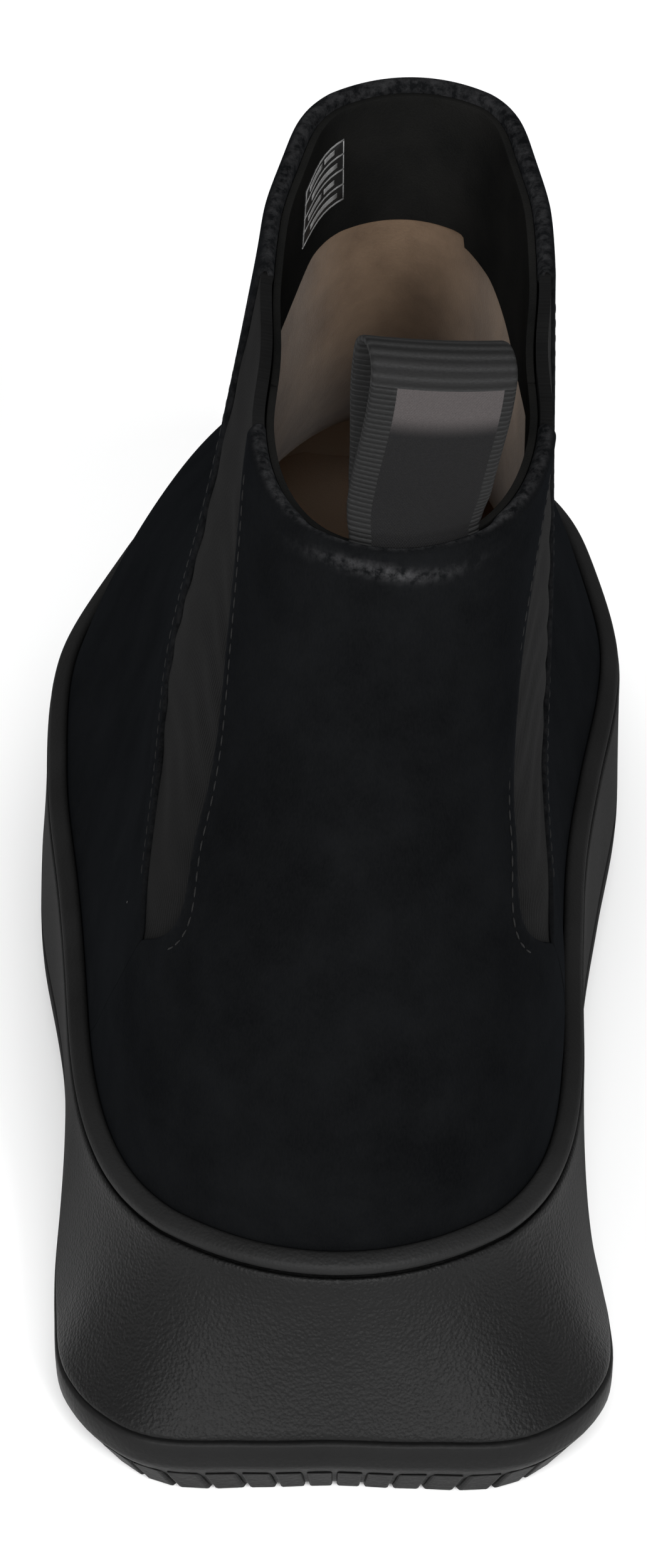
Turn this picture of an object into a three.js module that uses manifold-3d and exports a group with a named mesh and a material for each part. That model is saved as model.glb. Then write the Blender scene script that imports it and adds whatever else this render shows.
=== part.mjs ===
// A left pull-on Chelsea ankle boot on a thick flared sole, built piece by piece.
// Millimetres, +Z up, toe towards +Y, inner side of the foot towards +X.
// The origin is on the ground, under the middle of the boot's box.

import * as THREE from 'three';
import { mergeVertices } from 'three/addons/utils/BufferGeometryUtils.js';
import Module from 'manifold-3d';

const wasm = await Module();
wasm.setup();

// ---------------------------------------------------------------- driving dimensions

const HEEL_TO_ORIGIN = 133.7;     // the sole's heel edge lies this far behind the origin
const SIDE_SHIFT = 0.3;          // sets the box's middle on x = 0
const RING_STEPS = 72;           // facets round the boot
const GAP = 0.3;                 // clearance between pieces that touch
// Facet levels up the upper, closer together round the toe.
const LEVELS = [0, 0.03, 0.06, 0.09, 0.12, 0.16, 0.2, 0.25, 0.3, 0.36, 0.39, 0.43, 0.5, 0.58, 0.66, 0.74,
  0.82, 0.9];

// Back and front profiles of the upper, from the sole (0) to the topline (1).
const BACK_Y = curve([[0, 11], [0.1, 8.5], [0.22, 8.5], [0.4, 14], [0.6, 22], [0.8, 28], [1, 31]]);
const BACK_Z = curve([[0, 41], [0.1, 52], [0.22, 65], [0.4, 88], [0.6, 110], [0.8, 131], [1, 150]]);
const FRONT_Y = curve([[0, 260], [0.06, 263], [0.14, 257], [0.24, 240], [0.36, 212],
  [0.48, 186], [0.6, 165], [0.72, 152], [0.86, 145], [1, 142]]);
const FRONT_Z = curve([[0, 44], [0.06, 53], [0.14, 64], [0.24, 74], [0.36, 84],
  [0.48, 94], [0.6, 107], [0.72, 124], [0.86, 149], [1, 174]]);

// Half widths of the upper at stations along its length, heel (0) to toe (1), on four rings.
const STATIONS = [0.04, 0.12, 0.25, 0.4, 0.55, 0.7, 0.85, 0.96];
const RINGS = [
  { at: 0, half: [24, 34, 38, 40.5, 44.5, 47, 40, 26] },            // where the sole begins
  { at: 0.25, half: [20, 31, 34, 33, 32, 34, 27, 14] },             // over the instep
  { at: 0.55, half: [14, 21.5, 26.5, 29.5, 29, 26, 19, 10] },       // ankle
  { at: 1, half: [13, 19.5, 22.5, 22.5, 22.5, 22, 19, 13] },        // topline
];
const LEAN = curve([[0, 0], [0.25, 2.5], [0.55, 5.5], [1, 12]]);      // the shaft leans inwards
const SWING = curve([[0, 1], [0.35, -1.7], [0.5, -2.3], [0.65, -0.4], [0.85, 3.8], [1, 6.5]]);
const TOP_SKEW = [-3, -0.8];     // the topline's back and front move sideways by this much
const WAIST_SAG = 2;             // the sole line dips this much at the waist

// Wall of the upper, as depths below its outer face.
const SUEDE = 1.5;
const MIDDLE = [SUEDE + GAP, 2.6];           // stiffeners, tapes, elastic and tab ends
const LINING = [MIDDLE[1] + GAP, 3.9];
const INSIDE = LINING[1] + 0.5;              // the outline that the insole pieces keep to

// Seams, as places round the boot: 0 heel, 0.25 outer side, 0.5 toe, 0.75 inner side.
const GORE_FOOT = 0.31;
const SIDE_SEAM = curve([[0, 0.16], [GORE_FOOT, 0.125]]);            // below the gore
const GORE_BACK = curve([[GORE_FOOT, 0.125], [0.35, 0.111], [0.5, 0.12], [0.8, 0.147], [1, 0.165]]);
const GORE_FRONT = curve([[GORE_FOOT, 0.125], [0.35, 0.145], [0.5, 0.213], [0.75, 0.238], [1, 0.27]]);
const GORE_UNDERLAP = 0.02;
const LINING_SEAM = 0.2;         // where the front and back linings meet
const FACING_HEIGHT = 0.135;     // the collar facing, as a share of the upper's height

// Sole. Rises are above the ground, offsets are outwards from the upper's base line.
const LASTING_DEPTH = 4;         // the upper runs this far down inside the rand
const OUTSOLE_TOP = 13.5;
const OUTSOLE_BAND = 4.5;        // height of the outsole's upright edge
const UNDERCUT = [3, 8];         // the edge then curves in by these insets, down to the tread
const TREAD_DEPTH = 3.6;
const TREAD_INSET = 9;
const TREAD_PITCH = 12;
const TREAD_BAR = 8;
const BAR_LENGTH = 120;          // more than the sole's width, before it is trimmed
const TOE_SPRING = 8;
const SPRING_START = 185;
const RAND_WIDTH = 3;
const RAND_TOP = 1;
const RAND_FOOT = -1.9;
const RAND_CLEAR = 0.5;          // between the rand and the suede
const LEDGE = 3.6;               // the sole wall's top edge stands out this far
const SHANK_THICK = 1.6;
const SHANK_WIDTH = 16;
const BOARD_THICK = 1.8;
const CUSHION_END = 0.27;        // the heel cushion's front edge, as a station along the boot
const CUSHION_THICK = 2;
const FOOTBED_THICK = 3.5;
// How far the foot of the sole wall stands out, by place round the boot.
const WALL_FOOT = curve([[-0.025, 13.5], [0, 11], [0.025, 13.5], [0.052, 19.3], [0.075, 17.2],
  [0.1, 11.6], [0.125, 8], [0.15, 5.5], [0.19, 3.8], [0.25, 5.1], [0.3, 5.2], [0.35, 6],
  [0.42, 7.5], [0.5, 8], [0.58, 6], [0.65, 4.6], [0.7, 4], [0.75, 4.2], [0.8, 3.8],
  [0.85, 4.8], [0.875, 7], [0.9, 11.8], [0.925, 17.9], [0.948, 19.3], [0.975, 13.5], [1, 11],
  [1.025, 13.5]]);

// Pull tab.
const TAB_WIDTH = 20;
const TAB_HEIGHT = 30;
const TAB_THICK = 1.3;
const TAB_GAP = 8;               // between the two legs of the loop, near its top
const TAB_BOW = 2;               // its foot follows the collar's curve, forwards
const TAB_CURL_RISE = 0.9;       // and up
const TAB_FORWARD = 1;           // the foot's middle lies this far inside the collar's middle
const TAB_TILT = 5;              // degrees, its top towards the inner side
const TAB_LEAN = 4;              // degrees, back over the heel
const TAB_LIFT = 1.9;            // the fold line stands this far above the collar
const TAB_SIDE = 2.2;            // the tab's middle lies this far towards the inner side

// ---------------------------------------------------------------- curves and surfaces

// Smooth curve through [place, value] knots, held level beyond its ends.
function curve(knots) {
  const gaps = knots.slice(1).map((knot, i) => knot[0] - knots[i][0]);
  const slopes = gaps.map((gap, i) => (knots[i + 1][1] - knots[i][1]) / gap);
  const tangents = knots.map((_, i) => {
    if (i === 0 || i === gaps.length) return 0;
    return (gaps[i - 1] * slopes[i] + gaps[i] * slopes[i - 1]) / (gaps[i - 1] + gaps[i]);
  });
  tangents[0] = 1.5 * slopes[0] - 0.5 * tangents[1];
  tangents[gaps.length] = 1.5 * slopes.at(-1) - 0.5 * tangents.at(-2);
  return (place) => {
    const x = THREE.MathUtils.clamp(place, knots[0][0], knots.at(-1)[0]);
    let i = 0;
    while (i < gaps.length - 1 && x > knots[i + 1][0]) i += 1;
    const s = (x - knots[i][0]) / gaps[i];
    const rise = s * s * (3 - 2 * s);
    return knots[i][1] * (1 - rise) + knots[i + 1][1] * rise
      + gaps[i] * s * (1 - s) * ((1 - s) * tangents[i] - s * tangents[i + 1]);
  };
}

// Half width over the sine of the place, which stays smooth round the heel and the toe.
const RING_CURVES = RINGS.map(({ at, half }) => ({
  at,
  spread: curve(half.map((value, i) => {
    const a = STATIONS[i];
    return [a, value / (2 * Math.sqrt(a * (1 - a)))];
  })),
}));

// Point on the upper's outer face. u goes round the boot, t goes up it.
function upperFace(u, t) {
  const level = Math.max(t, 0);
  const angle = u * 2 * Math.PI;
  const a = (1 - Math.cos(angle)) / 2;
  const spread = curve(RING_CURVES.map((ring) => [ring.at, ring.spread(a)]))(level);
  const sag = WAIST_SAG * Math.sin(Math.PI * a) * (1 - level) ** 3;
  const skew = level * THREE.MathUtils.lerp(TOP_SKEW[0], TOP_SKEW[1], a);
  return new THREE.Vector3(
    -Math.sin(angle) * spread + LEAN(level) + SWING(a) * (1 - level) ** 2 + skew + SIDE_SHIFT,
    BACK_Y(level) + (FRONT_Y(level) - BACK_Y(level)) * a - HEEL_TO_ORIGIN,
    BACK_Z(level) + (FRONT_Z(level) - BACK_Z(level)) * a - sag + Math.min(t, 0) * 100,
  );
}

// The same point moved in through the wall by a depth.
function wallPoint(u, t, depth) {
  const step = 0.004;
  const low = Math.max(t, 0);
  const along = upperFace(u + step, low).sub(upperFace(u - step, low));
  const up = t < 0
    ? new THREE.Vector3(0, 0, 1)
    : upperFace(u, Math.min(t + step, 1)).sub(upperFace(u, Math.max(t - step, 0)));
  const inwards = along.cross(up).normalize();
  return upperFace(u, t).addScaledVector(inwards, depth);
}

// Point beside the upper's base line, out by an offset and up by a rise.
function basePoint(u, offset, rise) {
  const point = wallPoint(u, -0.001, -offset);
  point.z = upperFace(u, 0).z + rise;
  return point;
}

// Height of a sole point that would be at the given height on a flat ground.
function sprung(y, height) {
  const ahead = Math.max(0, y + HEEL_TO_ORIGIN - SPRING_START) / (2 * HEEL_TO_ORIGIN - SPRING_START);
  return height + TOE_SPRING * ahead ** 2 * Math.max(0, 1 - height / 30);
}

// Point of the sole wall: share 0 at its top edge, 1 at its foot.
function solePoint(u, share, inset = 0) {
  const foot = WALL_FOOT(((u % 1) + 1) % 1);
  const offset = LEDGE + (Math.max(foot, LEDGE) - LEDGE) * share ** 1.5 - inset;
  const point = basePoint(u, offset, RAND_FOOT - GAP);
  point.z = sprung(point.y, point.z + (OUTSOLE_TOP + GAP - point.z) * share);
  return point;
}

// ---------------------------------------------------------------- closed bodies

const boot = new THREE.Group();

function material(color, roughness, metalness = 0) {
  return new THREE.MeshStandardMaterial({ color, roughness, metalness });
}

const SUEDE_BLACK = material(0x17171a, 0.95);
const ELASTIC = material(0x2b2c2f, 0.85);
const WEBBING = material(0x3a3b3e, 0.8);
const FACING = material(0x101012, 0.7);
const MICROFIBRE = material(0xa88a68, 0.9);
const STIFFENER = material(0xb9ad98, 0.8);
const FIBREBOARD = material(0x9a7b55, 0.85);
const CORK = material(0x8d6a43, 0.95);
const FOAM = material(0xcfc7b8, 0.95);
const SOLE_BLACK = material(0x1b1b1d, 0.55);
const RUBBER_BLACK = material(0x141416, 0.65);
const STEEL = material(0x9a9ca0, 0.35, 1);
const LABEL_WHITE = material(0xe8e8e6, 0.6);

// Closed geometry from points and triangles, turned so that its faces point out.
function closedGeometry({ points, triangles }) {
  const signed = triangles.reduce((sum, [a, b, c]) => (
    sum + points[a].dot(new THREE.Vector3().crossVectors(points[b], points[c]))), 0);
  const faces = signed < 0 ? triangles.map(([a, b, c]) => [a, c, b]) : triangles;
  const geometry = new THREE.BufferGeometry().setFromPoints(points);
  geometry.setIndex(faces.flat());
  return geometry;
}

// Adds a named piece to the boot.
function addPiece(name, geometry, look) {
  geometry.computeVertexNormals();
  const mesh = new THREE.Mesh(geometry, look);
  mesh.name = name;
  boot.add(mesh);
}

const level = (value) => () => value;

// Two triangles across four corners.
function quad(a, b, c, d) {
  return [[a, b, c], [a, c, d]];
}

// Sheet of the upper's wall between two depths, over a range of t and between two seams.
function addPanel(name, look, { left, right, from, to, depths, columns }) {
  const heights = [from, ...LEVELS.filter((t) => t > from + 0.01 && t < to - 0.01), to];
  const rows = heights.length - 1;
  const points = [];
  for (const depth of depths) {
    for (let row = 0; row <= rows; row += 1) {
      const t = heights[row];
      const start = left(t);
      const end = right(t);
      for (let column = 0; column <= columns; column += 1) {
        points.push(wallPoint(start + (end - start) * (column / columns), t, depth));
      }
    }
  }
  const face = (rows + 1) * (columns + 1);
  const index = (row, column) => row * (columns + 1) + column;
  const triangles = [];
  for (let row = 0; row < rows; row += 1) {
    for (let column = 0; column < columns; column += 1) {
      const corners = [index(row, column), index(row, column + 1),
        index(row + 1, column + 1), index(row + 1, column)];
      triangles.push(...quad(...corners));
      triangles.push(...quad(...corners.map((corner) => corner + face).reverse()));
    }
  }
  const border = [];
  for (let column = 0; column < columns; column += 1) border.push(index(0, column));
  for (let row = 0; row < rows; row += 1) border.push(index(row, columns));
  for (let column = columns; column > 0; column -= 1) border.push(index(rows, column));
  for (let row = rows; row > 0; row -= 1) border.push(index(row, 0));
  border.forEach((corner, i) => {
    const next = border[(i + 1) % border.length];
    triangles.push(...quad(next, corner, corner + face, next + face));
  });
  addPiece(name, closedGeometry({ points, triangles }), look);
}

// Rings of points, stacked and closed at both ends. Each end is closed from side to side.
function stackedRings(rings) {
  const count = rings[0].length;
  const triangles = [];
  for (let level = 0; level < rings.length - 1; level += 1) {
    for (let i = 0; i < count; i += 1) {
      const next = (i + 1) % count;
      const low = level * count;
      triangles.push(...quad(low + i, low + next, low + count + next, low + count + i));
    }
  }
  const closeEnd = (first, flip) => {
    for (let i = 0; i < count / 2; i += 1) {
      const across = (count - i) % count;
      const strip = [[i, i + 1, count - i - 1], [i, count - i - 1, across]];
      for (const corners of strip) {
        if (new Set(corners).size === 3) {
          triangles.push((flip ? corners : [...corners].reverse()).map((corner) => corner + first));
        }
      }
    }
  };
  closeEnd(0, false);
  closeEnd((rings.length - 1) * count, true);
  return { points: rings.flat(), triangles };
}

// One ring of points round the boot.
function ring(place) {
  return Array.from({ length: RING_STEPS }, (_, i) => place(i / RING_STEPS));
}

// Closed band round the boot whose section's corners are the given places.
function addHoop(name, look, corners) {
  const rings = corners.map(ring);
  const triangles = [];
  for (let side = 0; side < rings.length; side += 1) {
    for (let i = 0; i < RING_STEPS; i += 1) {
      const next = (i + 1) % RING_STEPS;
      const low = side * RING_STEPS;
      const high = ((side + 1) % rings.length) * RING_STEPS;
      triangles.push(...quad(low + i, low + next, high + next, high + i));
    }
  }
  addPiece(name, closedGeometry({ points: rings.flat(), triangles }), look);
}

// Flat layer inside the upper, from one station along the boot to another. Its faces are given as
// rises over the upper's base line, and its edge as insets at the lower and the upper face.
function addLayer(name, look, { from, to, insets, low, high, halfWidth = Infinity, steps }) {
  const points = [];
  for (let i = 0; i <= steps; i += 1) {
    const a = from + (to - from) * (i / steps);
    const u = Math.acos(1 - 2 * a) / (2 * Math.PI);
    const sides = [low(a), high(a)].map((rise, face) => {
      const outer = basePoint(u, -insets[face], rise);
      const inner = basePoint(1 - u, -insets[face], rise);
      const middle = outer.clone().add(inner).multiplyScalar(0.5);
      const reach = Math.min(1, halfWidth / outer.distanceTo(middle));
      return [outer.lerp(middle, 1 - reach), inner.lerp(middle, 1 - reach)];
    });
    points.push(sides[0][0], sides[0][1], sides[1][1], sides[1][0]);
  }
  const triangles = [...quad(0, 1, 2, 3)];
  for (let i = 0; i < steps; i += 1) {
    for (let side = 0; side < 4; side += 1) {
      const next = (side + 1) % 4;
      triangles.push(...quad(4 * i + next, 4 * i + side, 4 * i + 4 + side, 4 * i + 4 + next));
    }
  }
  triangles.push(...quad(4 * steps + 3, 4 * steps + 2, 4 * steps + 1, 4 * steps));
  addPiece(name, closedGeometry({ points, triangles }), look);
}

// ---------------------------------------------------------------- solids to join and cut

function toSolid(geometry) {
  const bare = geometry.clone();
  bare.deleteAttribute('normal');
  bare.deleteAttribute('uv');
  const merged = mergeVertices(bare, 1e-4);
  return new wasm.Manifold(new wasm.Mesh({
    numProp: 3,
    vertProperties: Float32Array.from(merged.attributes.position.array),
    triVerts: Uint32Array.from(merged.index.array),
  }));
}

function fromSolid(solid) {
  const mesh = solid.getMesh();
  const geometry = new THREE.BufferGeometry();
  const corners = Array.from(mesh.triVerts);
  const positions = Array.from({ length: mesh.vertProperties.length / mesh.numProp }, (_, i) => (
    new THREE.Vector3().fromArray(mesh.vertProperties, i * mesh.numProp)));
  geometry.setFromPoints(positions);
  geometry.setIndex(corners);
  return geometry;
}

// ---------------------------------------------------------------- sole

// Outsole plate with straight bars of tread under it.
function addOutsole() {
  const level = (height, inset) => ring((u) => {
    const point = solePoint(u, 1, inset);
    point.z = height;
    return point;
  });
  const plate = toSolid(closedGeometry(stackedRings([
    level(TREAD_DEPTH, UNDERCUT[1]),
    level(TREAD_DEPTH + 3, UNDERCUT[0]),
    level(OUTSOLE_TOP - OUTSOLE_BAND, 0.5),
    level(OUTSOLE_TOP, 0),
  ])));
  const print = toSolid(closedGeometry(stackedRings([
    level(0, TREAD_INSET), level(TREAD_DEPTH + 1, TREAD_INSET),
  ])));
  const bars = [];
  for (let y = -HEEL_TO_ORIGIN; y < HEEL_TO_ORIGIN; y += TREAD_PITCH) {
    const bar = new THREE.BoxGeometry(BAR_LENGTH, TREAD_BAR, TREAD_DEPTH + 0.5);
    bar.translate(0, y + TREAD_PITCH / 2, (TREAD_DEPTH + 0.5) / 2);
    bars.push(toSolid(bar));
  }
  const tread = wasm.Manifold.union(bars).intersect(print);
  const geometry = fromSolid(plate.add(tread));
  const position = geometry.attributes.position;
  for (let i = 0; i < position.count; i += 1) {
    position.setZ(i, sprung(position.getY(i), position.getZ(i)));
  }
  addPiece('outsole', geometry, RUBBER_BLACK);
}

// Thick flared wall with a shallow well that the upper is lasted into.
function addMidsole() {
  const wall = [1, 0.8, 0.55, 0.28, 0].map((share) => ring((u) => solePoint(u, share)));
  const lip = ring((u) => basePoint(u, GAP, RAND_FOOT - GAP));
  const well = ring((u) => basePoint(u, GAP, -LASTING_DEPTH - GAP));
  addPiece('midsole', closedGeometry(stackedRings([...wall, lip, well])), SOLE_BLACK);
}

// Raised strip round the foot of the upper.
function addRand() {
  addHoop('rand', SOLE_BLACK, [
    (u) => basePoint(u, RAND_CLEAR, RAND_FOOT),
    (u) => basePoint(u, GAP + RAND_WIDTH, RAND_FOOT),
    (u) => basePoint(u, GAP + RAND_WIDTH, RAND_TOP - 0.8),
    (u) => basePoint(u, GAP + RAND_WIDTH - 0.8, RAND_TOP),
    (u) => basePoint(u, RAND_CLEAR + 0.6, RAND_TOP),
  ]);
}

// Layers under the foot, from the midsole up.
function addInsolePieces() {
  const shankTop = SHANK_THICK - LASTING_DEPTH;
  const boardTop = shankTop + GAP + BOARD_THICK;
  const edge = [INSIDE, INSIDE];
  addLayer('shank', STEEL, {
    from: 0.12, to: 0.52, insets: edge,
    low: level(-LASTING_DEPTH), high: level(shankTop), halfWidth: SHANK_WIDTH / 2, steps: 12,
  });
  addLayer('forefoot_filler', CORK, {
    from: 0.55, to: 0.975, insets: edge,
    low: level(-LASTING_DEPTH), high: level(shankTop), steps: 14,
  });
  addLayer('insole_board', FIBREBOARD, {
    from: 0.004, to: 0.996, insets: edge, low: level(shankTop + GAP), high: level(boardTop), steps: 28,
  });
  addLayer('heel_cushion', FOAM, {
    from: 0.02, to: CUSHION_END, insets: [INSIDE + 1, INSIDE + 1.5],
    low: level(boardTop + GAP), high: level(boardTop + GAP + CUSHION_THICK), steps: 10,
  });
  const under = (a) => {
    const lifted = 1 - THREE.MathUtils.smoothstep(a, CUSHION_END + 0.02, CUSHION_END + 0.12);
    return boardTop + GAP + (CUSHION_THICK + GAP) * lifted;
  };
  addLayer('footbed', MICROFIBRE, {
    from: 0.01, to: 0.985, insets: [INSIDE + 1, INSIDE + 2.5],
    low: under, high: (a) => under(a) + FOOTBED_THICK, steps: 32,
  });
}

// ---------------------------------------------------------------- upper

const mirror = (seam) => (t) => 1 - seam(t);
const shifted = (seam, by) => (t) => seam(t) + by;
const SEAM_GAP = 0.0012;         // half the gap at a seam, as a share of the way round

function addSuedePanels() {
  const shape = { from: -LASTING_DEPTH / 100, to: 1, depths: [0, SUEDE] };
  const vampEdge = (t) => (t < GORE_FOOT ? SIDE_SEAM(t) : GORE_FRONT(t)) + SEAM_GAP;
  const quarterEdge = (t) => (t < GORE_FOOT ? SIDE_SEAM(t) : GORE_BACK(t)) - SEAM_GAP;
  addPanel('vamp', SUEDE_BLACK, { ...shape, left: vampEdge, right: mirror(vampEdge), columns: 46 });
  addPanel('heel_quarter', SUEDE_BLACK, {
    ...shape, left: (t) => -quarterEdge(t), right: quarterEdge, columns: 26,
  });
}

// Elastic side gores, sewn in under the edges of the suede.
function addGores() {
  const back = shifted(GORE_BACK, -GORE_UNDERLAP);
  const front = shifted(GORE_FRONT, GORE_UNDERLAP);
  const shape = { from: GORE_FOOT - 0.02, to: 0.985, depths: MIDDLE, columns: 12 };
  addPanel('lateral_gore', ELASTIC, { ...shape, left: back, right: front });
  addPanel('medial_gore', ELASTIC, { ...shape, left: mirror(front), right: mirror(back) });
}

// Stiffeners and tapes between the suede and the lining.
function addStiffeners() {
  const depths = MIDDLE;
  addPanel('heel_counter', STIFFENER, {
    left: level(-0.2), right: level(0.2), from: -0.03, to: 0.28, depths, columns: 24,
  });
  addPanel('toe_puff', STIFFENER, {
    left: level(0.39), right: level(0.61), from: -0.03, to: 0.2, depths, columns: 18,
  });
  const addTape = (name, left, right, columns) => {
    addPanel(name, STIFFENER, {
      left: level(left), right: level(right), from: 0.95, to: 0.99, depths, columns,
    });
  };
  addTape('front_topline_tape', 0.31, 0.69, 20);
  addTape('lateral_topline_tape', 0.085, 0.138, 4);
  addTape('medial_topline_tape', 0.862, 0.915, 4);
}

// Tan linings below, black facing round the collar.
function addLinings() {
  const split = LINING_SEAM + SEAM_GAP;
  const backSplit = LINING_SEAM - SEAM_GAP;
  const collar = 1 - FACING_HEIGHT;
  const front = { left: level(split), right: level(1 - split), depths: LINING };
  const back = { left: level(-backSplit), right: level(backSplit), depths: LINING };
  const low = { from: -LASTING_DEPTH / 100, to: collar - 0.004 };
  addPanel('vamp_lining', MICROFIBRE, { ...front, ...low, columns: 30 });
  addPanel('quarter_lining', MICROFIBRE, { ...back, ...low, columns: 20 });
  addPanel('front_facing', FACING, { ...front, from: collar, to: 0.998, columns: 26 });
  addPanel('back_facing', FACING, { ...back, from: collar, to: 0.998, columns: 22 });
  addPanel('size_label', LABEL_WHITE, {
    left: level(0.36), right: level(0.435), from: 0.9, to: 0.962,
    depths: [LINING[1] + GAP, LINING[1] + GAP + 0.4], columns: 5,
  });
}

// ---------------------------------------------------------------- pull tab

// The sewn ends of the webbing, held between the suede and the facing.
function addTabRoot() {
  addPanel('pull_tab_root', WEBBING, {
    left: level(-0.073), right: level(0.05), from: 0.86, to: 0.998, depths: MIDDLE, columns: 8,
  });
}

// Outline of the loop seen from the side, moved out or in from the webbing's middle line.
function loopOutline(grow) {
  const belly = TAB_GAP / 2 + grow;
  const top = TAB_HEIGHT - TAB_GAP / 2;
  const foot = grow > 0 ? TAB_THICK / 2 + 0.1 : 0.2;
  const base = grow > 0 ? 0 : TAB_THICK * 1.6;
  const shape = new THREE.Shape();
  shape.moveTo(-foot, base);
  shape.lineTo(foot, base);
  shape.bezierCurveTo(foot + 0.9, base + 7, belly, top - 14, belly, top);
  shape.absarc(0, top, belly, 0, Math.PI, false);
  shape.bezierCurveTo(-belly, top - 14, -foot - 0.9, base + 7, -foot, base);
  return shape;
}

// The free loop above the collar, which folds down to either side.
function addPullTab() {
  const outline = loopOutline(TAB_THICK / 2);
  outline.holes.push(loopOutline(-TAB_THICK / 2));
  const geometry = new THREE.ExtrudeGeometry(outline, {
    depth: TAB_WIDTH, steps: 6, bevelEnabled: false, curveSegments: 8,
  });
  geometry.translate(0, 0, -TAB_WIDTH / 2);
  geometry.rotateX(Math.PI / 2);
  geometry.rotateZ(Math.PI / 2);
  const position = geometry.attributes.position;
  const hinge = wallPoint(0, 1, (MIDDLE[0] + MIDDLE[1]) / 2);
  const tilt = THREE.MathUtils.degToRad(TAB_TILT);
  const lean = THREE.MathUtils.degToRad(TAB_LEAN);
  for (let i = 0; i < position.count; i += 1) {
    const x = position.getX(i);
    const y = position.getY(i);
    const z = position.getZ(i);
    const fade = 1 - z / (TAB_HEIGHT + TAB_GAP);
    const curl = fade * (2 * x / TAB_WIDTH) ** 2;
    position.setXYZ(
      i,
      hinge.x + TAB_SIDE + x + z * Math.tan(tilt),
      hinge.y + TAB_FORWARD + y + TAB_BOW * curl - z * Math.tan(lean),
      hinge.z + TAB_LIFT + z + TAB_CURL_RISE * curl - x * Math.tan(tilt) * (z / TAB_HEIGHT),
    );
  }
  addPiece('pull_tab', geometry, WEBBING);
}

addOutsole();
addMidsole();
addRand();
addInsolePieces();
addSuedePanels();
addGores();
addStiffeners();
addLinings();
addTabRoot();
addPullTab();

export default boot;
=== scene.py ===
"""Looks of a left pull-on Chelsea ankle boot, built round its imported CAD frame.

Sizes are in millimetres here and become metres when a mesh is made.
+Z is up, the toe points to +Y and the inner side of the foot is +X.
"""

import math

import bpy
import numpy as np
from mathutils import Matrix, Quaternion, Vector


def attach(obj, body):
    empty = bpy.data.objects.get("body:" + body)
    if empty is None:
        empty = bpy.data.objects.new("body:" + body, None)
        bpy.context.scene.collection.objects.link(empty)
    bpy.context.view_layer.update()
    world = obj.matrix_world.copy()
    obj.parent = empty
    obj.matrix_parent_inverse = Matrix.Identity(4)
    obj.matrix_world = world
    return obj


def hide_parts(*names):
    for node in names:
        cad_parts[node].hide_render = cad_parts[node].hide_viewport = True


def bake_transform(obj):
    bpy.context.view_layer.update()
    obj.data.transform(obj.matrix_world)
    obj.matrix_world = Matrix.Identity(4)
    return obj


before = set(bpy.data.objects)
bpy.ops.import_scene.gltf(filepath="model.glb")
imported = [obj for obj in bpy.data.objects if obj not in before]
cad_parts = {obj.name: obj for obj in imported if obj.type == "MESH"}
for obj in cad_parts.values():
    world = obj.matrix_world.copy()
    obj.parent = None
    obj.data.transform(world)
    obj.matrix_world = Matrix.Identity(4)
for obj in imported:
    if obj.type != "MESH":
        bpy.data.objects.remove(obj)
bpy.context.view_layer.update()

MM = 0.001

# ---------------------------------------------------------------- dimensions shared with the CAD

HEEL_TO_ORIGIN = 133.7
SIDE_SHIFT = 0.3

BACK_Y = ([0, 0.1, 0.22, 0.4, 0.6, 0.8, 1], [11, 8.5, 8.5, 14, 22, 28, 31])
BACK_Z = ([0, 0.1, 0.22, 0.4, 0.6, 0.8, 1], [41, 52, 65, 88, 110, 131, 150])
FRONT_T = [0, 0.06, 0.14, 0.24, 0.36, 0.48, 0.6, 0.72, 0.86, 1]
FRONT_Y = (FRONT_T, [260, 263, 257, 240, 212, 186, 165, 152, 145, 142])
FRONT_Z = (FRONT_T, [44, 53, 64, 74, 84, 94, 107, 124, 149, 174])

STATIONS = [0.04, 0.12, 0.25, 0.4, 0.55, 0.7, 0.85, 0.96]
RING_LEVELS = [0, 0.25, 0.55, 1]
RING_HALVES = [
    [24, 34, 38, 40.5, 44.5, 47, 40, 26],
    [20, 31, 34, 33, 32, 34, 27, 14],
    [14, 21.5, 26.5, 29.5, 29, 26, 19, 10],
    [13, 19.5, 22.5, 22.5, 22.5, 22, 19, 13],
]
LEAN = ([0, 0.25, 0.55, 1], [0, 2.5, 5.5, 12])
SWING = ([0, 0.35, 0.5, 0.65, 0.85, 1], [1, -1.7, -2.3, -0.4, 3.8, 6.5])
TOP_SKEW = (-3, -0.8)
WAIST_SAG = 2

GORE_FOOT = 0.31
GORE_TOP = 0.985
SIDE_SEAM = ([0, GORE_FOOT], [0.16, 0.125])
GORE_BACK = ([GORE_FOOT, 0.35, 0.5, 0.8, 1], [0.125, 0.111, 0.12, 0.147, 0.165])
GORE_FRONT = ([GORE_FOOT, 0.35, 0.5, 0.75, 1], [0.125, 0.145, 0.213, 0.238, 0.27])
SEAM_GAP = 0.00003
STITCH_REACH = 0.009             # from a gore's edge to its stitches, as a share of the way round

GAP = 0.3
GORE_DEPTH = 0.75
LINING_DEPTH = 2.9
LINING_THICK = 1.0

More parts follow.
